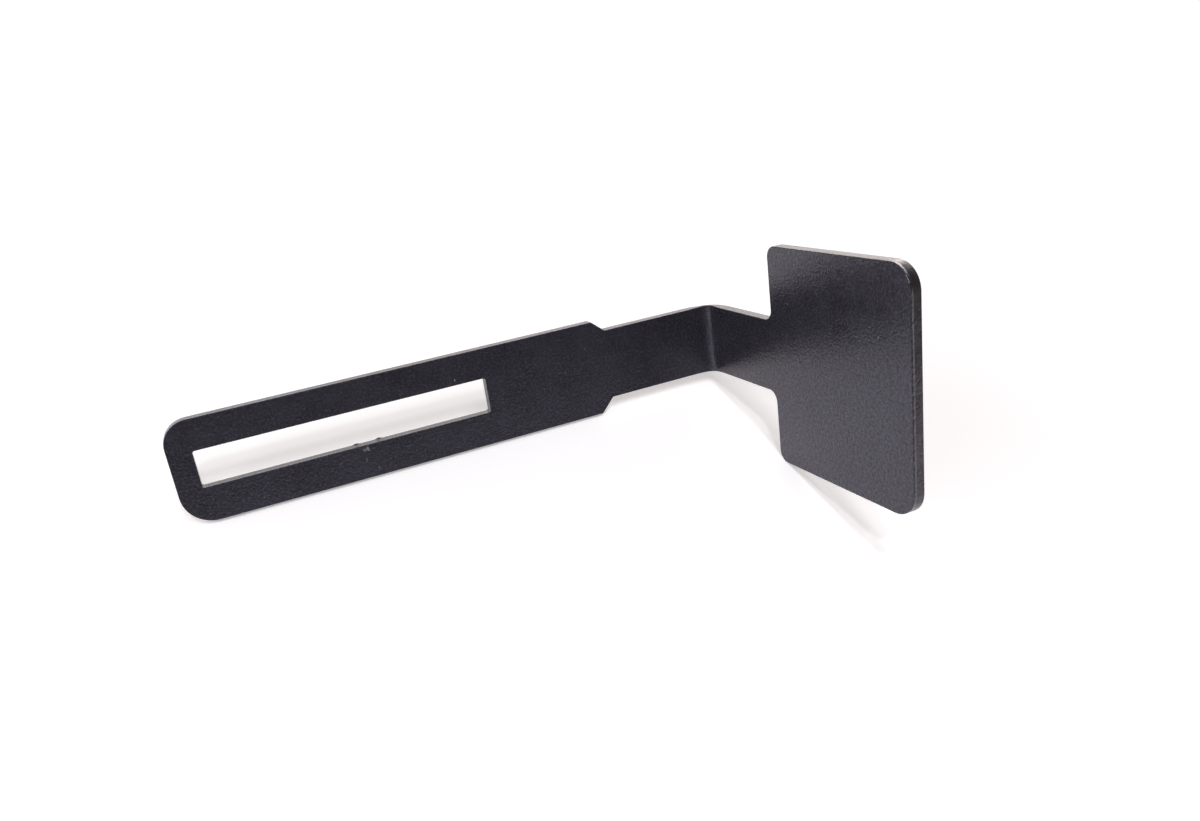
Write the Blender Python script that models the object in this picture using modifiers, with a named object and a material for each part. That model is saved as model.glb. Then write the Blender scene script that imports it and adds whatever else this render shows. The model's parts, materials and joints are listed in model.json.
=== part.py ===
"""Interlock bracket, one piece of sheet steel, cut, folded once and powder coated black.

A long arm with an adjusting slot narrows at two shoulders to a neck. The neck is folded square
across its width and widens into a rectangular paddle. The flat blank is drawn in plan, cut across
at the fold and wrapped round it. The bracket then stands as it does on a bench, on the lower edge
of its arm and the lower inner corner of its paddle. X runs along the arm towards the fold, +Z is
up, and the origin is the middle of the ground that the bracket covers.
"""
import math

import bmesh
import bpy
from mathutils import Matrix, Vector

MM = 0.001

# Sheet: 3 mm steel with 0.1 mm of coat on each side
SHEET_THICKNESS = 3.2 * MM
EDGE_ROUNDING = 0.3 * MM

# Fold: its lengths are measured from the line where the two inner faces would meet
FOLD_ANGLE = math.radians(90)
FOLD_RADIUS = 2.5 * MM

# Arm, whose long edges lie above and below the centre line that the neck and the slot share
ARM_LENGTH = 154 * MM
ARM_ABOVE = 13.2 * MM
ARM_BELOW = 14.1 * MM
ARM_UPPER_CORNER = 6.5 * MM
ARM_LOWER_CORNER = 8 * MM

# Slot, set in from the arm's end
SLOT_LENGTH = 76.7 * MM
SLOT_WIDTH = 9.8 * MM
SLOT_END_MARGIN = 6 * MM
SLOT_CORNER = 0.6 * MM

# Neck and the shoulders that widen it to the arm
NECK_WIDTH = 20 * MM
NECK_TO_SHOULDER = 34.2 * MM
SHOULDER_LENGTH = 3.8 * MM
SHOULDER_CORNER = 1 * MM

# Paddle
NECK_TO_PADDLE = 32 * MM
PADDLE_LENGTH = 52 * MM
PADDLE_HEIGHT = 60 * MM
PADDLE_OUTER_CORNER = 6.5 * MM
PADDLE_INNER_CORNER = 3.2 * MM
PADDLE_NECK_FILLET = 3 * MM

# Fineness of round corners and of the fold
STEP_ANGLE = math.radians(11.25)

COAT_COLOUR = (0.022, 0.021, 0.026, 1.0)
COAT_ROUGHNESS = 0.45

# Places along the flat blank, which starts its fold at zero with the arm on the negative side
FOLD_LENGTH = FOLD_ANGLE * (FOLD_RADIUS + SHEET_THICKNESS / 2)
FOLD_SETBACK = FOLD_RADIUS * math.tan(FOLD_ANGLE / 2)
ARM_END = FOLD_SETBACK - ARM_LENGTH
NECK_END = FOLD_SETBACK - NECK_TO_SHOULDER
SHOULDER_END = NECK_END - SHOULDER_LENGTH
PADDLE_START = FOLD_LENGTH + NECK_TO_PADDLE - FOLD_SETBACK
PADDLE_END = PADDLE_START + PADDLE_LENGTH


def clear_scene():
    for old in list(bpy.data.objects):
        bpy.data.objects.remove(old, do_unlink=True)


def named_collection(name):
    collection = bpy.data.collections.new(name)
    bpy.context.scene.collection.children.link(collection)
    return collection


def powder_coat():
    material = bpy.data.materials.new("black_powder_coat")
    material.use_nodes = True
    shader = material.node_tree.nodes["Principled BSDF"]
    shader.inputs["Base Color"].default_value = COAT_COLOUR
    shader.inputs["Roughness"].default_value = COAT_ROUGHNESS
    shader.inputs["Metallic"].default_value = 0.0
    material.diffuse_color = COAT_COLOUR
    return material


def round_corner(before, corner, after, radius):
    """Points of the arc of this radius that touches both sides of a corner."""
    towards_before = (before - corner).normalized()
    towards_after = (after - corner).normalized()
    half_opening = towards_before.angle(towards_after) / 2
    centre = corner + (towards_before + towards_after).normalized() * radius / math.sin(half_opening)
    start = corner + towards_before * radius / math.tan(half_opening) - centre
    end = corner + towards_after * radius / math.tan(half_opening) - centre
    turn = math.atan2(start.x * end.y - start.y * end.x, start.dot(end))
    steps = max(2, round(abs(turn) / STEP_ANGLE))
    return [centre + Matrix.Rotation(turn * step / steps, 2) @ start for step in range(steps + 1)]


def add_outline(curve, corners):
    """Add a closed outline to a flat curve. Each corner is its two places and its radius."""
    places = [Vector(corner[:2]) for corner in corners]
    points = []
    for index, corner in enumerate(corners):
        after = places[(index + 1) % len(places)]
        points += round_corner(places[index - 1], places[index], after, corner[2])
    spline = curve.splines.new("POLY")
    spline.points.add(len(points) - 1)
    for spline_point, point in zip(spline.points, points):
        spline_point.co = (point.x, point.y, 0.0, 1.0)
    spline.use_cyclic_u = True


def blank_corners():
    """The blank's outline, round the arm first, with the fold lying across its neck."""
    half_neck = NECK_WIDTH / 2
    half_paddle = PADDLE_HEIGHT / 2
    return [
        (PADDLE_START, half_neck, PADDLE_NECK_FILLET),
        (NECK_END, half_neck, SHOULDER_CORNER),
        (SHOULDER_END, ARM_ABOVE, SHOULDER_CORNER),
        (ARM_END, ARM_ABOVE, ARM_UPPER_CORNER),
        (ARM_END, -ARM_BELOW, ARM_LOWER_CORNER),
        (SHOULDER_END, -ARM_BELOW, SHOULDER_CORNER),
        (NECK_END, -half_neck, SHOULDER_CORNER),
        (PADDLE_START, -half_neck, PADDLE_NECK_FILLET),
        (PADDLE_START, -half_paddle, PADDLE_INNER_CORNER),
        (PADDLE_END, -half_paddle, PADDLE_OUTER_CORNER),
        (PADDLE_END, half_paddle, PADDLE_OUTER_CORNER),
        (PADDLE_START, half_paddle, PADDLE_INNER_CORNER),
    ]


def slot_corners():
    start = ARM_END + SLOT_END_MARGIN
    end = start + SLOT_LENGTH
    half_width = SLOT_WIDTH / 2
    return [
        (start, half_width, SLOT_CORNER),
        (end, half_width, SLOT_CORNER),
        (end, -half_width, SLOT_CORNER),
        (start, -half_width, SLOT_CORNER),
    ]


def flat_blank(collection):
    """The cut blank as a mesh, its inner face up at zero and its outer face one thickness below."""
    curve = bpy.data.curves.new("blank_outline", "CURVE")
    curve.dimensions = "2D"
    curve.fill_mode = "BOTH"
    curve.extrude = SHEET_THICKNESS / 2
    add_outline(curve, blank_corners())
    add_outline(curve, slot_corners())
    drawing = bpy.data.objects.new("blank_outline", curve)
    drawing.location.z = -SHEET_THICKNESS / 2
    collection.objects.link(drawing)

    depsgraph = bpy.context.evaluated_depsgraph_get()
    mesh = bpy.data.meshes.new_from_object(drawing.evaluated_get(depsgraph))
    mesh.transform(drawing.matrix_world)
    bpy.data.objects.remove(drawing, do_unlink=True)
    bracket = bpy.data.objects.new("interlock_bracket", mesh)
    collection.objects.link(bracket)
    return bracket


def folded(place):
    """Where a point of the blank lies once the blank is wrapped round the fold."""
    turned = FOLD_ANGLE * min(max(place.x / FOLD_LENGTH, 0), 1)
    past_fold = place.x - FOLD_LENGTH * turned / FOLD_ANGLE
    radius = FOLD_RADIUS - place.z
    across = -FOLD_SETBACK + radius * math.sin(turned) + past_fold * math.cos(turned)
    away = -FOLD_RADIUS + radius * math.cos(turned) - past_fold * math.sin(turned)
    return Vector((across, away, place.y))


def fold_sheet(mesh):
    """Weld the blank, cut it across at each step of the fold and wrap it round."""
    sheet = bmesh.new()
    sheet.from_mesh(mesh)
    bmesh.ops.remove_doubles(sheet, verts=sheet.verts, dist=0.00001)
    steps = max(4, round(FOLD_ANGLE / STEP_ANGLE))
    for step in range(steps + 1):
        everything = sheet.verts[:] + sheet.edges[:] + sheet.faces[:]
        cut_at = Vector((FOLD_LENGTH * step / steps, 0, 0))
        bmesh.ops.bisect_plane(sheet, geom=everything, dist=0.00001, plane_co=cut_at, plane_no=(1, 0, 0))
    for vertex in sheet.verts:
        vertex.co = folded(vertex.co)
    sheet.to_mesh(mesh)
    sheet.free()


def lean_on_bench():
    """Angle that the bracket rolls back about X to stand on its arm's edge and its paddle's corner.

    Seen along the arm, the ground touches the arm's lower outer edge and runs under the
    round of the paddle's lower inner corner.
    """
    edge = Vector((SHEET_THICKNESS, -ARM_BELOW))
    corner_centre = Vector((-NECK_TO_PADDLE - PADDLE_INNER_CORNER, PADDLE_INNER_CORNER - PADDLE_HEIGHT / 2))
    apart = edge - corner_centre
    return math.atan2(apart.y, apart.x) + math.asin(PADDLE_INNER_CORNER / apart.length)


def finish_edges(bracket):
    rounding = bracket.modifiers.new("edge_rounding", "BEVEL")
    rounding.width = min(EDGE_ROUNDING, SHEET_THICKNESS / 4)
    rounding.segments = 2
    rounding.limit_method = "ANGLE"
    rounding.angle_limit = math.radians(40)
    bracket.data.shade_smooth()
    bracket.data.set_sharp_from_angle(angle=math.radians(30))


def stand_on_ground(bracket):
    """Roll the bracket onto its feet, over the origin."""
    lean = Matrix.Rotation(-lean_on_bench(), 4, "X")
    corners = [lean @ vertex.co for vertex in bracket.data.vertices]
    low = Vector(min(corner[axis] for corner in corners) for axis in range(3))
    high = Vector(max(corner[axis] for corner in corners) for axis in range(3))
    bracket.rotation_euler = lean.to_euler()
    bracket.location = -Vector(((low.x + high.x) / 2, (low.y + high.y) / 2, low.z))


def build():
    clear_scene()
    collection = named_collection("interlock_bracket")
    bracket = flat_blank(collection)
    fold_sheet(bracket.data)
    finish_edges(bracket)
    stand_on_ground(bracket)
    bracket.data.materials.append(powder_coat())


build()
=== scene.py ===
import json
import math

import bmesh
import bpy
from mathutils import Matrix, Vector

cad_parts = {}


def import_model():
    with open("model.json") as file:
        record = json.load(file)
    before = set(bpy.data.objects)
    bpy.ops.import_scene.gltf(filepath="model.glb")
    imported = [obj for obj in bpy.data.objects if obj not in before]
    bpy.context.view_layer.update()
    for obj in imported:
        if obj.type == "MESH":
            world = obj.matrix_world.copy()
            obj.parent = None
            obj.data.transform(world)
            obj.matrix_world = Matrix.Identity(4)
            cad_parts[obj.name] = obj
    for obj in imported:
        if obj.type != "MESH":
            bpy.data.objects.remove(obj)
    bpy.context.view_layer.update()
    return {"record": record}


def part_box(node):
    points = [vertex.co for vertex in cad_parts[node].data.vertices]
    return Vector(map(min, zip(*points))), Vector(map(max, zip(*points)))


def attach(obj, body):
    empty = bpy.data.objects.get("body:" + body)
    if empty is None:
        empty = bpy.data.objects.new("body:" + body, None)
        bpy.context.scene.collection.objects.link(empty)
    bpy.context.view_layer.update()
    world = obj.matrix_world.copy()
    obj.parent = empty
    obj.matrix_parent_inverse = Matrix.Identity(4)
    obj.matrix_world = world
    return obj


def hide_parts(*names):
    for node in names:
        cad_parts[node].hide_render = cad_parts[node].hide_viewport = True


# The bracket in its black powder coat, standing on white paper

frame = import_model()

MM = 0.001

# How close two places count as one, and how close a cut comes to a point before it uses it
TOUCHING = 0.01 * MM
CUT_TOLERANCE = 0.001 * MM

# The bracket's own corner, where the inner faces of the arm and the paddle would meet.
# Seen from it the arm runs along -X, the paddle along -Y and the fold along Z.
MOUNTS = {mount["name"]: mount for mount in frame["record"]["mounts"]}
ARM_FACE = Vector(MOUNTS["arm_inner_face"]["pos_m"])
PADDLE_FACE = Vector(MOUNTS["paddle_inner_face"]["pos_m"])
OUTWARDS = MOUNTS["arm_outer_face"]["axis"]
CORNER = Vector((PADDLE_FACE.x, ARM_FACE.y, ARM_FACE.z))
LEAN = math.atan2(-OUTWARDS[2], OUTWARDS[1])
BRACKET_TO_WORLD = Matrix.Translation(CORNER) @ Matrix.Rotation(-LEAN, 4, "X")

# Sheet
THICKNESS = MOUNTS["paddle_outer_face"]["pos_m"][0] - PADDLE_FACE.x
EDGE_ROUNDING = 0.3 * MM

# Fold, and how it squeezed the neck's edges: out at the inner face and in at the outer one.
# The squeeze dies away over its reach, and cuts at these distances from the fold follow it.
FOLD_RADIUS = 2.5 * MM
FOLD_BULGE = 0.25 * MM
FOLD_DRAW = 0.35 * MM
SQUEEZE_REACH = 3.2 * MM
SQUEEZE_END = 7 * MM
SQUEEZE_CUTS = [0.6 * MM, 1.4 * MM, 2.6 * MM, 4.2 * MM]

# Arm, whose long edges lie above and below the centre line that the neck and the slot share
ARM_LENGTH = PADDLE_FACE.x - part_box("interlock_bracket")[0].x
ARM_ABOVE = 13.2 * MM
ARM_BELOW = 14.1 * MM
ARM_UPPER_CORNER = 6.5 * MM
ARM_LOWER_CORNER = 8 * MM

# Slot, set in from the arm's end
SLOT_LENGTH = 76.7 * MM
SLOT_WIDTH = 9.8 * MM
SLOT_END_MARGIN = 6 * MM
SLOT_CORNER = 0.6 * MM

# Drops of coat on the outer rim of the slot's lower edge. A drop is at full height past this
# share of the edge's rounding, and cuts at these shares of its length give it its shape.
DROP_PLACES = [-108.7 * MM, -102.6 * MM]
DROP_HEIGHT = 0.32 * MM
DROP_LENGTH = 0.7 * MM
DROP_FULL_AT = 0.4
DROP_CUTS = [-1.6, -0.8, 0, 0.8, 1.6]

# Neck and the shoulders that widen it to the arm. The slot's cuts stay clear of them.
HALF_NECK = 10 * MM
NECK_TO_SHOULDER = 34.2 * MM
SHOULDER_LENGTH = 3.8 * MM
SHOULDER_CORNER = 0.5 * MM
CLEAR_OF_SHOULDER = 1 * MM

# Paddle
NECK_TO_PADDLE = 32 * MM
PADDLE_LENGTH = 52 * MM
HALF_PADDLE = 30 * MM
PADDLE_OUTER_CORNER = 6.5 * MM
PADDLE_INNER_CORNER = 3.2 * MM
PADDLE_NECK_FILLET = 3 * MM

# Places along the arm and the paddle from the bracket's corner, and across from the centre line
SHOULDER_START = -NECK_TO_SHOULDER
SHOULDER_END = SHOULDER_START - SHOULDER_LENGTH
ARM_END = -ARM_LENGTH
SLOT_START = ARM_END + SLOT_END_MARGIN
SLOT_END = SLOT_START + SLOT_LENGTH
HALF_SLOT = SLOT_WIDTH / 2
PADDLE_START = -NECK_TO_PADDLE
PADDLE_END = PADDLE_START - PADDLE_LENGTH

# Which side of the centre line each of the arm's long edges lies on, and how far from it
ARM_EDGES = ((1, ARM_ABOVE), (-1, ARM_BELOW))

# Fineness of the fold, the corners and the rounded edges
FOLD_STEPS = 16
CORNER_STEP = math.radians(7.5)
SLOT_CORNER_SEGMENTS = 6
EDGE_SEGMENTS = 4

# Two faces are merged if they turn by less than the first angle and shaded smooth if by less
# than the second. The edge between them is rounded if they turn by more than the third.
FLAT_ANGLE = math.radians(1)
SMOOTH_ANGLE = math.radians(35)
SHARP_ANGLE = math.radians(40)

# Colours of the coat, of its cut edges, and of the dust on it. The cut edges are lighter and
# warmer than the faces: partly a thinner coat, partly painted warm sheen of grazing light.
COAT_DARK = (0.017, 0.016, 0.021, 1)
COAT_LIGHT = (0.024, 0.023, 0.030, 1)
COAT_SPECKLE = (0.050, 0.047, 0.064, 1)
SPECKLE_STRENGTH = 0.6
EDGE_DARK_WITH_SHEEN = (0.022, 0.020, 0.021, 1)
EDGE_LIGHT_WITH_SHEEN = (0.036, 0.032, 0.032, 1)
DUST = (0.40, 0.38, 0.40, 1)

# Gloss of the coat. Its roughness and its shine vary by their spread on either side.
COAT_ROUGHNESS = 0.24
ROUGHNESS_SPREAD = 0.03
COAT_IOR = 1.6
COAT_GLOSS_TINT = (0.84, 0.81, 1, 1)
COAT_GLOSS = 0.5
GLOSS_SPREAD = 0.17

# Relief of the coat: the height of its orange peel, and its other bumps as shares of that.
# The lumps lie only along the inner rim of the cut edges.
PEEL_HEIGHT = 0.056 * MM
FINE_GRAIN_SHARE = 0.3
WAVES_SHARE = 0.5
LUMPS_SHARE = 5.0

# Noises behind the finish: waves per metre, and layers of detail
NOISES = {
    "clouds": (70, 3),
    "speckle": (1500, 2),
    "thin_and_sheen_patches": (420, 3),
    "ragged_outline": (1100, 3),
    "dull_patches": (300, 3),
    "gloss_grain": (1300, 2),
    "peel": (1600, 1),
    "fine_grain": (3000, 2),
    "waves": (620, 1),
    "lumps": (700, 3),
    "mark_outline": (900, 2),
}
NOISE_MIDDLE = 0.5

# The two values of a noise that are drawn apart into the ends of a range
NOISE_ENDS = (0.3, 0.7)
SPECKLE_ENDS = (0.4, 0.75)
THIN_AND_SHEEN_PATCH_ENDS = (0.35, 0.65)

# Shares of the way through the sheet, from its inner face to its outer one, between which a
# mask of the cut edges comes up. A ragged outline shifts those of the thinner coat with its
# painted sheen.
THIN_AND_SHEEN_PAST_INNER = (0.04, 0.16)
THIN_AND_SHEEN_BEFORE_OUTER = (0.97, 0.9)
RAGGEDNESS = 0.45
EDGE_PAST_INNER = (0.0, 0.06)
EDGE_BEFORE_OUTER = (1.0, 0.94)
LUMPS_PAST_INNER = (0.0, 0.03)
LUMPS_BEFORE_MIDDLE = (0.3, 0.1)

# Small pale marks: place on the bracket and radius in millimetres, and strength.
# A mark is full within its core, a share of its radius, and a noise bends its outline.
PALE_MARKS = [
    ((-106.3, 0, -6.0), 0.8, 0.4),
    ((-107.2, 0, -6.1), 0.5, 0.3),
    ((-107.3, 0, -8.8), 0.35, 0.3),
    ((-107.3, 0, -9.3), 0.3, 0.2),
    ((-114.0, 0, -8.2), 0.3, 0.25),
    ((-134.5, 0, -11.4), 0.3, 0.25),
    ((-104.6, 0, -11.8), 0.3, 0.25),
    ((-95.3, 0, 7.3), 0.3, 0.3),
    ((-139.8, 0, 11.8), 0.3, 0.2),
    ((-79.7, 0, 6.5), 0.35, 0.5),
    ((-48.0, 0, 0.7), 0.3, 0.25),
    ((-40.9, 0, 6.4), 0.3, 0.25),
    ((0, -39.8, 15.8), 0.35, 0.25),
    ((0, -73.6, 12.4), 0.35, 0.35),
    ((0, -71.0, 14.3), 0.3, 0.25),
]
MARK_CORE = 0.35
MARK_BEND = 1.2 * MM

# Lamps, which all face the bracket: place and size in metres, power in watts, and colour
NEUTRAL = (1, 0.985, 0.99)
WARM = (1, 0.885, 0.78)
SMALL_LAMP = (0.12, 0.12)
LAMPS = {
    "front_key": ((-0.25, -0.6, 1.3), SMALL_LAMP, 4.2, NEUTRAL),
    "front_fill": ((-0.05, -0.8, 1.2), SMALL_LAMP, 1.7, NEUTRAL),
    "front_right": ((0.2, -0.7, 1.2), SMALL_LAMP, 1.6, NEUTRAL),
    "top_light": ((0, -0.3, 1.1), SMALL_LAMP, 2.6, NEUTRAL),
    "left_softbox": ((-1.3, -0.1, 0.76), (1.8, 0.9), 12.3, NEUTRAL),
    "back_softbox": ((1.17, 1.26, 0.52), (2.0, 0.95), 22, WARM),
}

# Floor. Its paper glows a little where it is seen, and more from the nearer of two distances
# from its middle to the farther one, in metres.
FLOOR_SIZE = 8
PAPER = (0.87, 0.85, 0.87, 1)
NEAR_GLOW = 0.35
FAR_GLOW = 1.0
GLOW_GROWS = (0.2, 2.0)

# Backdrop. Out of a dim room, it comes up between these two Y parts of a direction.
BACKDROP_COLOUR = (1, 1, 1, 1)
BACKDROP_COMES_UP = (-0.1, 0.3)
BACKDROP_LEVEL = 1.0
ROOM_LEVEL = 0.03

# Camera, as fitted to the photograph, with its angles in degrees and its lens in millimetres
CAMERA_PLACE = (-0.06132, -0.14995, 0.17048)
CAMERA_TURN = -25.71
CAMERA_DOWN = 40.73
CAMERA_ROLL = 1.59
CAMERA_LENS = 27.59
CAMERA_SHIFT = (0.0236, 0.0241)
CAMERA_NEAREST = 0.01


# Selecting and editing, as by hand

def make_active(piece):
    """Select this piece alone, because an operator acts on all that is selected."""
    for thing in bpy.context.selected_objects:
        thing.select_set(False)
    piece.select_set(True)
    bpy.context.view_layer.objects.active = piece


def start_editing(piece):
    make_active(piece)
    bpy.ops.object.mode_set(mode="EDIT")


def stop_editing():
    bpy.ops.object.mode_set(mode="OBJECT")


def select_where(kind, test):
    """Select only the points, edges or faces whose corners all pass the test."""
    bpy.ops.mesh.select_mode(type=kind)
    bpy.ops.mesh.select_all(action="DESELECT")
    data = bpy.context.edit_object.data
    mesh = bmesh.from_edit_mesh(data)
    things = {"VERT": mesh.verts, "EDGE": mesh.edges, "FACE": mesh.faces}[kind]
    for thing in things:
        corners = [thing] if kind == "VERT" else thing.verts
        if all(test(corner.co) for corner in corners):
            thing.select_set(True)
    mesh.select_flush_mode()
    bmesh.update_edit_mesh(data)


def near(value, target):
    return abs(value - target) < TOUCHING


def within(value, low, high):
    return low - TOUCHING < value < high + TOUCHING


def extrude_edges(move):
    bpy.ops.mesh.extrude_region_move(TRANSFORM_OT_translate={"value": move})


def cut_selected(point, normal):
    bpy.ops.mesh.bisect(plane_co=point, plane_no=normal, threshold=CUT_TOLERANCE)


def cut_everything(point, normal):
    bpy.ops.mesh.select_all(action="SELECT")
    cut_selected(point, normal)


def move_corner(test, move):
    select_where("VERT", test)
    bpy.ops.transform.translate(value=move)


def round_corner(test, radius, turn=math.pi / 2):
    """Round the outline's corners that pass the test. The outline turns by this angle there."""
    select_where("VERT", test)
    segments = max(2, round(turn / CORNER_STEP))
    run = radius * math.tan(turn / 2)
    bpy.ops.mesh.bevel(offset=run, segments=segments, affect="VERTICES")


def apply_modifier(piece, kind, **settings):
    make_active(piece)
    modifier = piece.modifiers.new(kind.lower(), kind)
    for name, value in settings.items():
        setattr(modifier, name, value)
    bpy.ops.object.modifier_apply(modifier=modifier.name)


# The sheet, made in the bracket's own frame

def arm_surface():
    """Start from the neck's arm side, stand it up, and draw the arm out from its end."""
    length = NECK_TO_SHOULDER - FOLD_RADIUS
    middle = -(NECK_TO_SHOULDER + FOLD_RADIUS) / 2
    bpy.ops.mesh.primitive_plane_add(
        size=1, location=(middle, 0, 0), rotation=(math.pi / 2, 0, 0))
    sheet = bpy.context.object
    sheet.name = "bracket_sheet"
    sheet.scale = (length, 2 * HALF_NECK, 1)
    make_active(sheet)
    bpy.ops.object.transform_apply(location=True, rotation=True, scale=True)

    start_editing(sheet)
    select_where("EDGE", lambda co: near(co.x, SHOULDER_START))
    extrude_edges((-SHOULDER_LENGTH, 0, 0))
    for side, reach in ARM_EDGES:
        widen = side * (reach - HALF_NECK)
        move_corner(lambda co: near(co.x, SHOULDER_END) and co.z * side > 0, (0, 0, widen))
    select_where("EDGE", lambda co: near(co.x, SHOULDER_END))
    extrude_edges((ARM_END - SHOULDER_END, 0, 0))
    stop_editing()
    return sheet


def fold_and_paddle(sheet):
    """Spin the neck's other end round the fold, and draw the paddle out from there."""
    start_editing(sheet)
    select_where("EDGE", lambda co: near(co.x, -FOLD_RADIUS))
    bpy.ops.mesh.spin(
        steps=FOLD_STEPS, angle=math.pi / 2,
        center=(-FOLD_RADIUS, -FOLD_RADIUS, 0), axis=(0, 0, 1))
    select_where("EDGE", lambda co: near(co.y, -FOLD_RADIUS) and near(co.x, 0))
    extrude_edges((0, PADDLE_START + FOLD_RADIUS, 0))
    extrude_edges((0, -PADDLE_LENGTH, 0))
    for side in (1, -1):
        neck_line = side * HALF_NECK
        select_where(
            "EDGE", lambda co: co.y < PADDLE_START + TOUCHING and near(co.z, neck_line))
        extrude_edges((0, 0, side * (HALF_PADDLE - HALF_NECK)))
    bpy.ops.mesh.select_all(action="SELECT")
    bpy.ops.mesh.dissolve_limited(angle_limit=FLAT_ANGLE)
    stop_editing()


def round_outline(sheet):
    start_editing(sheet)
    for side, reach in ARM_EDGES:
        turn = math.atan2(reach - HALF_NECK, SHOULDER_LENGTH)
        round_corner(
            lambda co: co.z * side > HALF_NECK - TOUCHING
            and within(co.x, SHOULDER_END, SHOULDER_START),
            SHOULDER_CORNER, turn)
    for side, radius in ((1, ARM_UPPER_CORNER), (-1, ARM_LOWER_CORNER)):
        round_corner(lambda co: near(co.x, ARM_END) and co.z * side > 0, radius)
    for reach, radius in ((HALF_NECK, PADDLE_NECK_FILLET), (HALF_PADDLE, PADDLE_INNER_CORNER)):
        round_corner(lambda co: near(co.y, PADDLE_START) and near(abs(co.z), reach), radius)
    round_corner(lambda co: near(co.y, PADDLE_END), PADDLE_OUTER_CORNER)
    stop_editing()


def cut_slot(sheet):
    """Cut the arm across and along at the slot's sides and take out the piece between them."""
    arm_only = SHOULDER_END - SHOULDER_CORNER - CLEAR_OF_SHOULDER
    start_editing(sheet)
    for cut_at in (arm_only, SLOT_START, SLOT_END):
        select_where("FACE", lambda co: co.x < TOUCHING - FOLD_RADIUS)
        cut_selected((cut_at, 0, 0), (1, 0, 0))
    for cut_at in (-HALF_SLOT, HALF_SLOT):
        select_where("FACE", lambda co: co.x < arm_only + TOUCHING)
        cut_selected((0, 0, cut_at), (0, 0, 1))
    select_where(
        "FACE",
        lambda co: within(co.x, SLOT_START, SLOT_END) and within(co.z, -HALF_SLOT, HALF_SLOT))
    bpy.ops.mesh.delete(type="FACE")
    stop_editing()


def round_slot_corners(sheet):
    start_editing(sheet)
    for along in (SLOT_START, SLOT_END):
        for across in (-HALF_SLOT, HALF_SLOT):
            select_where("EDGE", lambda co: near(co.x, along) and near(co.z, across))
            bpy.ops.mesh.bevel(
                offset=SLOT_CORNER, segments=SLOT_CORNER_SEGMENTS, affect="EDGES")
    stop_editing()


def depth_in_sheet(place):
    """How far a point lies behind the sheet's inner face."""
    if place.x < -FOLD_RADIUS:
        return place.y
    if place.y < -FOLD_RADIUS:
        return place.x
    return math.hypot(place.x + FOLD_RADIUS, place.y + FOLD_RADIUS) - FOLD_RADIUS


def distance_from_fold(place):
    """How far a point lies from the fold's middle, measured along the sheet's inner face."""
    half_fold = FOLD_RADIUS * math.pi / 4
    if place.x < -FOLD_RADIUS:
        return half_fold - place.x - FOLD_RADIUS
    if place.y < -FOLD_RADIUS:
        return half_fold - place.y - FOLD_RADIUS
    angle = math.atan2(place.x + FOLD_RADIUS, place.y + FOLD_RADIUS)
    return abs(angle * FOLD_RADIUS - half_fold)


def cut_for_shaping(sheet):
    """Cut across the arm at the drops and across the neck beside the fold, for points to move."""
    start_editing(sheet)
    for drop in DROP_PLACES:
        for share in DROP_CUTS:
            cut_everything((drop + share * DROP_LENGTH, 0, 0), (1, 0, 0))
    for distance in SQUEEZE_CUTS:
        for axis in ((1, 0, 0), (0, 1, 0)):
            cut_everything(-Vector(axis) * (FOLD_RADIUS + distance), axis)
    stop_editing()


def squeeze_fold_edges(sheet):
    """Bulge the neck's edges where the fold squeezed them."""
    for vertex in sheet.data.vertices:
        place = vertex.co
        distance = distance_from_fold(place)
        if near(abs(place.z), HALF_NECK) and distance < SQUEEZE_END:
            share = depth_in_sheet(place) / THICKNESS
            squeeze = FOLD_BULGE - (FOLD_BULGE + FOLD_DRAW) * share
            fading = math.exp(-(distance / SQUEEZE_REACH) ** 2)
            place.z += math.copysign(1, place.z) * squeeze * fading


def drop_into_slot(sheet):
    """Raise the drops of coat along the rim of the slot's lower edge, once it is rounded."""
    rim_start = THICKNESS - EDGE_ROUNDING
    rim_top = TOUCHING - HALF_SLOT
    for vertex in sheet.data.vertices:
        place = vertex.co
        onto_rim = (place.y - rim_start) / (DROP_FULL_AT * EDGE_ROUNDING)
        if onto_rim > 0 and rim_top - EDGE_ROUNDING < place.z < rim_top:
            for drop in DROP_PLACES:
                rise = DROP_HEIGHT * math.exp(-((place.x - drop) / DROP_LENGTH) ** 2)
                place.z += rise * min(onto_rim, 1)


def mark_depth(sheet):
    """Give each point its depth through the sheet, from 0 on the inner face to 1 on the outer."""
    depth = sheet.data.attributes.new("depth_through_sheet", "FLOAT", "POINT")
    for vertex, mark in zip(sheet.data.vertices, depth.data):
        mark.value = depth_in_sheet(vertex.co) / THICKNESS


def build_sheet():
    sheet = arm_surface()
    fold_and_paddle(sheet)
    round_outline(sheet)
    cut_slot(sheet)
    apply_modifier(sheet, "SOLIDIFY", thickness=THICKNESS, offset=-1, use_even_offset=True)
    round_slot_corners(sheet)
    cut_for_shaping(sheet)
    squeeze_fold_edges(sheet)
    apply_modifier(
        sheet, "BEVEL", width=EDGE_ROUNDING, segments=EDGE_SEGMENTS, limit_method="ANGLE",
        angle_limit=SHARP_ANGLE, use_clamp_overlap=False)
    mark_depth(sheet)
    drop_into_slot(sheet)
    sheet.data.transform(BRACKET_TO_WORLD)
    make_active(sheet)
    bpy.ops.object.shade_smooth_by_angle(angle=SMOOTH_ANGLE)
    apply_modifier(sheet, "WEIGHTED_NORMAL", keep_sharp=True)
    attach(sheet, "root")
    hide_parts("interlock_bracket")
    sheet.data.materials.append(powder_coat())


# Shader nodes

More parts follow.
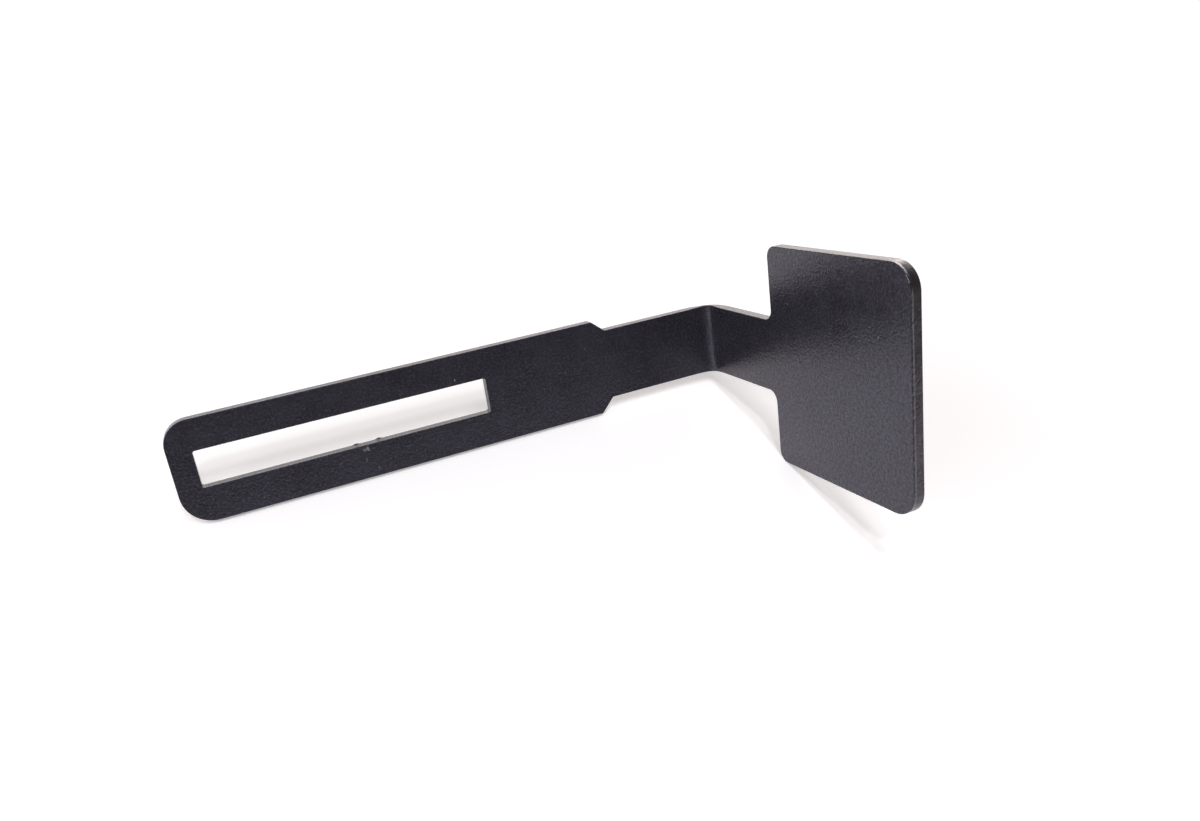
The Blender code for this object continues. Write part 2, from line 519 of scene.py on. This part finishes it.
def add_node(tree, kind, inputs, **settings):
    """Add a node. Each input named gets a value, or the output that it is given."""
    made = tree.nodes.new(kind)
    for name, value in settings.items():
        setattr(made, name, value)
    for name, value in inputs.items():
        if isinstance(value, bpy.types.NodeSocket):
            tree.links.new(value, made.inputs[name])
        else:
            made.inputs[name].default_value = value
    return made


def math_node(tree, operation, first, second):
    inputs = {0: first, 1: second}
    return add_node(tree, "ShaderNodeMath", inputs, operation=operation).outputs[0]


def add(tree, first, second):
    return math_node(tree, "ADD", first, second)


def multiply(tree, first, second):
    return math_node(tree, "MULTIPLY", first, second)


def larger(tree, first, second):
    return math_node(tree, "MAXIMUM", first, second)


def vector_node(tree, operation, inputs, output="Vector"):
    return add_node(tree, "ShaderNodeVectorMath", inputs, operation=operation).outputs[output]


def noise(tree, place, name, output="Fac"):
    scale, detail = NOISES[name]
    inputs = {"Vector": place, "Scale": scale, "Detail": detail}
    return add_node(tree, "ShaderNodeTexNoise", inputs).outputs[output]


def ramp(tree, value, ends, results=(0.0, 1.0)):
    """Ease from the first result to the second while the value runs from end to end."""
    inputs = {
        "Value": value, "From Min": ends[0], "From Max": ends[1],
        "To Min": results[0], "To Max": results[1]}
    made = add_node(tree, "ShaderNodeMapRange", inputs, interpolation_type="SMOOTHSTEP")
    return made.outputs["Result"]


def mix_colour(tree, amount, first, second):
    """Mix two colours. The Mix node takes colours at its inputs 6 and 7 and gives one at output 2."""
    inputs = {0: amount, 6: first, 7: second}
    return add_node(tree, "ShaderNodeMix", inputs, data_type="RGBA").outputs[2]


# Powder coat

def place_on_bracket(tree):
    """Object coordinates, centred and turned to the bracket's own frame."""
    coordinates = tree.nodes.new("ShaderNodeTexCoord")
    turn = {"Vector": coordinates.outputs["Object"], "Location": CORNER, "Rotation": (-LEAN, 0, 0)}
    return add_node(tree, "ShaderNodeMapping", turn, vector_type="TEXTURE").outputs["Vector"]


def depth_through_sheet(tree):
    depth = add_node(tree, "ShaderNodeAttribute", {}, attribute_name="depth_through_sheet")
    return depth.outputs["Fac"]


def thin_coat_and_sheen_mask(tree, place):
    """Where the coat is thinner and a warm sheen is painted: on the sheet's cut edges, inside a
    ragged outline.
    """
    depth = depth_through_sheet(tree)
    unevenness = math_node(
        tree, "SUBTRACT", noise(tree, place, "ragged_outline"), NOISE_MIDDLE)
    shifted = add(tree, depth, multiply(tree, unevenness, RAGGEDNESS))
    ragged = multiply(
        tree, ramp(tree, shifted, THIN_AND_SHEEN_PAST_INNER), ramp(tree, shifted, THIN_AND_SHEEN_BEFORE_OUTER))
    edge = multiply(tree, ramp(tree, depth, EDGE_PAST_INNER), ramp(tree, depth, EDGE_BEFORE_OUTER))
    return multiply(tree, ragged, edge)


def lumps_mask(tree):
    """Where the coat lies in lumps: along the inner rim of the sheet's cut edges."""
    depth = depth_through_sheet(tree)
    return multiply(
        tree, ramp(tree, depth, LUMPS_PAST_INNER), ramp(tree, depth, LUMPS_BEFORE_MIDDLE))


def bent_place(tree, place):
    """The place, moved a little by a noise, so that a round mark gets an uneven outline."""
    wobble = noise(tree, place, "mark_outline", "Color")
    centred = vector_node(tree, "SUBTRACT", {0: wobble, 1: (NOISE_MIDDLE,) * 3})
    shift = vector_node(tree, "SCALE", {0: centred, "Scale": MARK_BEND})
    return vector_node(tree, "ADD", {0: place, 1: shift})


def pale_marks(tree, place):
    bent = bent_place(tree, place)
    marks = None
    for spot, size, strength in PALE_MARKS:
        centre = [length * MM for length in spot]
        radius = size * MM
        away = vector_node(tree, "DISTANCE", {0: bent, 1: centre}, "Value")
        mark = ramp(tree, away, (radius, MARK_CORE * radius), (0.0, strength))
        marks = mark if marks is None else larger(tree, marks, mark)
    return marks


def coat_colour(tree, place):
    clouds = ramp(tree, noise(tree, place, "clouds"), NOISE_ENDS)
    speckle = ramp(tree, noise(tree, place, "speckle"), SPECKLE_ENDS, (0.0, SPECKLE_STRENGTH))
    patches = ramp(tree, noise(tree, place, "thin_and_sheen_patches"), THIN_AND_SHEEN_PATCH_ENDS)
    thick = mix_colour(tree, clouds, COAT_DARK, COAT_LIGHT)
    thick = mix_colour(tree, speckle, thick, COAT_SPECKLE)
    # Cut edges, lighter and warmer than the faces: partly a thinner coat, partly painted warm sheen
    thin_and_sheen = mix_colour(tree, patches, EDGE_DARK_WITH_SHEEN, EDGE_LIGHT_WITH_SHEEN)
    coat = mix_colour(tree, thin_coat_and_sheen_mask(tree, place), thick, thin_and_sheen)
    return mix_colour(tree, pale_marks(tree, place), coat, DUST)


def varied(tree, place, name, middle, spread):
    """A value that a noise takes up to this spread above and below its middle."""
    return ramp(tree, noise(tree, place, name), NOISE_ENDS, (middle - spread, middle + spread))


def coat_relief(tree, place):
    """Height of the coat in shares of its peel: peel, fine grain, long waves and edge lumps."""
    peel = noise(tree, place, "peel")
    grain = multiply(tree, noise(tree, place, "fine_grain"), FINE_GRAIN_SHARE)
    waves = multiply(tree, noise(tree, place, "waves"), WAVES_SHARE)
    lump_share = multiply(tree, lumps_mask(tree), LUMPS_SHARE)
    lumps = multiply(tree, noise(tree, place, "lumps"), lump_share)
    return add(tree, add(tree, peel, grain), add(tree, waves, lumps))


def powder_coat():
    material = bpy.data.materials.new("black_powder_coat")
    material.use_nodes = True
    tree = material.node_tree
    shader = tree.nodes["Principled BSDF"]
    shader.inputs["IOR"].default_value = COAT_IOR
    shader.inputs["Specular Tint"].default_value = COAT_GLOSS_TINT
    place = place_on_bracket(tree)
    relief = {"Height": coat_relief(tree, place), "Distance": PEEL_HEIGHT}
    looks = {
        "Base Color": coat_colour(tree, place),
        "Roughness": varied(tree, place, "dull_patches", COAT_ROUGHNESS, ROUGHNESS_SPREAD),
        "Specular IOR Level": varied(tree, place, "gloss_grain", COAT_GLOSS, GLOSS_SPREAD),
        "Normal": add_node(tree, "ShaderNodeBump", relief).outputs["Normal"],
    }
    for name, output in looks.items():
        tree.links.new(output, shader.inputs[name])
    return material


# Room

def seen_directly_or_mirrored(tree, rays):
    """1 for the rays of the camera, of gloss and through clear things, and 0 for soft light."""
    mirrored = larger(tree, rays["Is Glossy Ray"], rays["Is Transmission Ray"])
    return larger(tree, rays["Is Camera Ray"], mirrored)


def white_paper():
    """Paper with a glow that is seen, directly or mirrored, but throws no soft light."""
    material = bpy.data.materials.new("white_floor")
    material.use_nodes = True
    tree = material.node_tree
    tree.nodes.remove(tree.nodes["Principled BSDF"])
    rays = tree.nodes.new("ShaderNodeLightPath").outputs
    seen = seen_directly_or_mirrored(tree, rays)
    place = tree.nodes.new("ShaderNodeTexCoord").outputs["Object"]
    away = vector_node(tree, "LENGTH", {0: place}, "Value")
    glow = multiply(tree, seen, ramp(tree, away, GLOW_GROWS, (NEAR_GLOW, FAR_GLOW)))
    paper = add_node(tree, "ShaderNodeBsdfDiffuse", {"Color": PAPER})
    light = add_node(tree, "ShaderNodeEmission", {"Strength": glow})
    both = add_node(tree, "ShaderNodeAddShader", {0: paper.outputs[0], 1: light.outputs[0]})
    tree.links.new(both.outputs[0], tree.nodes["Material Output"].inputs["Surface"])
    return material


def floor():
    bpy.ops.mesh.primitive_plane_add(size=FLOOR_SIZE)
    ground = bpy.context.object
    ground.name = "floor"
    ground.data.materials.append(white_paper())


def world():
    """A white backdrop behind the bracket and wherever the camera looks, in a dim room."""
    room = bpy.data.worlds.new("pale_room")
    bpy.context.scene.world = room
    room.use_nodes = True
    tree = room.node_tree
    rays = tree.nodes.new("ShaderNodeLightPath").outputs
    seen = seen_directly_or_mirrored(tree, rays)
    towards = tree.nodes.new("ShaderNodeTexCoord").outputs["Generated"]
    parts = add_node(tree, "ShaderNodeSeparateXYZ", {0: towards}).outputs
    behind = ramp(tree, parts["Y"], BACKDROP_COMES_UP)
    backdrop = multiply(tree, seen, larger(tree, behind, rays["Is Camera Ray"]))
    level = ramp(tree, backdrop, (0.0, 1.0), (ROOM_LEVEL, BACKDROP_LEVEL))
    background = tree.nodes["Background"]
    background.inputs["Color"].default_value = BACKDROP_COLOUR
    tree.links.new(level, background.inputs["Strength"])


def lamp(name, place, size, power, colour):
    light = bpy.data.lights.new(name, "AREA")
    light.shape = "RECTANGLE"
    light.size, light.size_y = size
    light.energy = power
    light.color = colour
    hung = bpy.data.objects.new(name, light)
    bpy.context.scene.collection.objects.link(hung)
    hung.location = place
    hung.rotation_euler = (-Vector(place)).to_track_quat("-Z", "Y").to_euler()


def lights():
    """Four small lamps high in front, and large softboxes on the left and behind on the right."""
    for name, lamp_values in LAMPS.items():
        lamp(name, *lamp_values)


def camera():
    view = bpy.data.cameras.new("camera")
    view.lens = CAMERA_LENS
    view.shift_x, view.shift_y = CAMERA_SHIFT
    view.clip_start = CAMERA_NEAREST
    eye = bpy.data.objects.new("camera", view)
    bpy.context.scene.collection.objects.link(eye)
    turn = Matrix.Rotation(math.radians(CAMERA_TURN), 4, "Z")
    tip = Matrix.Rotation(math.radians(90 - CAMERA_DOWN), 4, "X")
    roll = Matrix.Rotation(math.radians(CAMERA_ROLL), 4, "Z")
    eye.matrix_world = Matrix.Translation(CAMERA_PLACE) @ turn @ tip @ roll
    bpy.context.scene.camera = eye


build_sheet()
floor()
world()
lights()
camera()
bpy.context.scene.view_settings.view_transform = "Standard"
